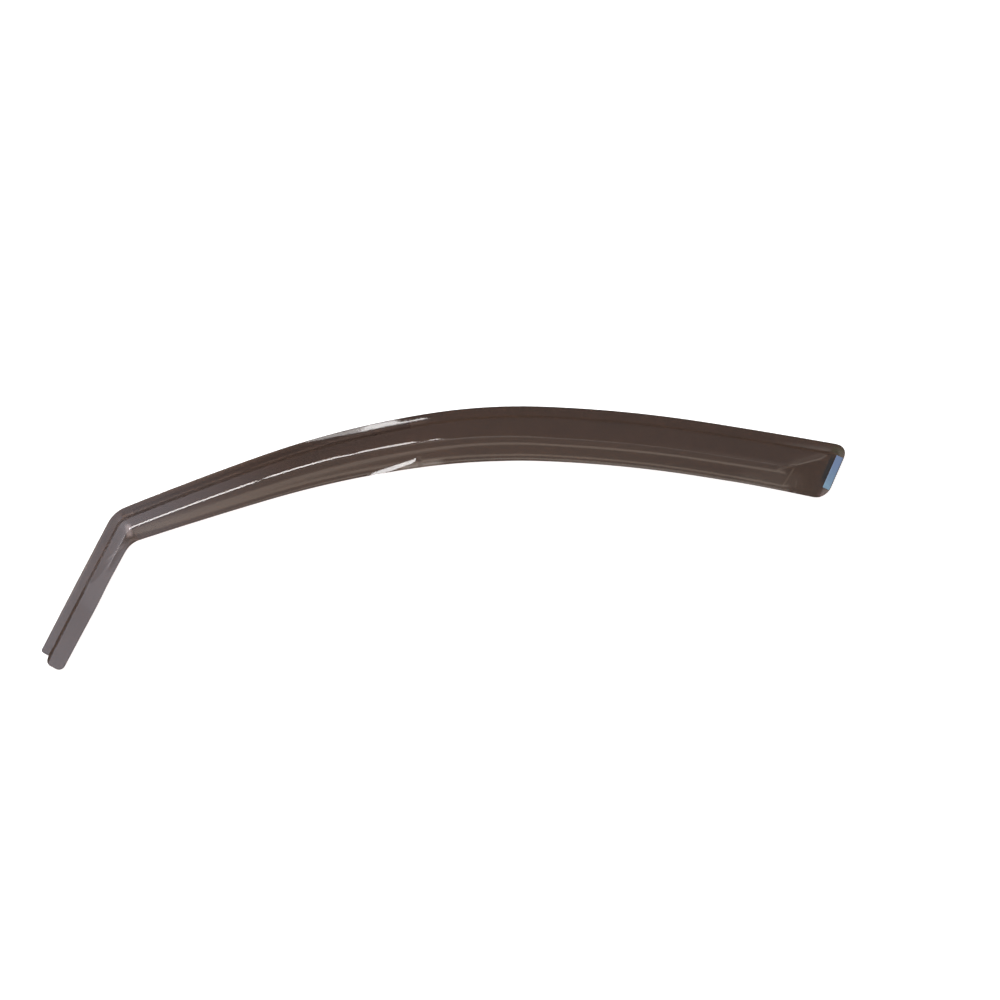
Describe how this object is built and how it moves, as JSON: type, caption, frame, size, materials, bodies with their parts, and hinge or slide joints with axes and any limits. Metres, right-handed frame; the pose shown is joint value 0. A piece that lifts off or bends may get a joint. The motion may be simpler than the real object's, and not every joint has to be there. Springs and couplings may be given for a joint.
{
  "type": "window rain deflector",
  "caption": "Curved strip of smoked acrylic that keeps rain out of an open car side window, with a channel flange, a slim front arm and a taped rear end.",
  "frame": {"origin": "under the middle of the bounding box, on the surface that the deflector lies on", "axes": "+X along the deflector towards its wide rear end, +Y towards the roof of the car, +Z off the outer face"},
  "size_m": [0.8858, 0.2904, 0.0254],
  "materials": {
    "smoked_acrylic": "glossy, brown-smoked, slightly see-through",
    "foam_tape": "matt closed-cell foam",
    "release_film": "thin blue film, satin"
  },
  "bodies": {
    "root": {"deflector_shell": "smoked_acrylic", "tape_foam": "foam_tape", "tape_liner": "release_film"}
  },
  "joints": []
}
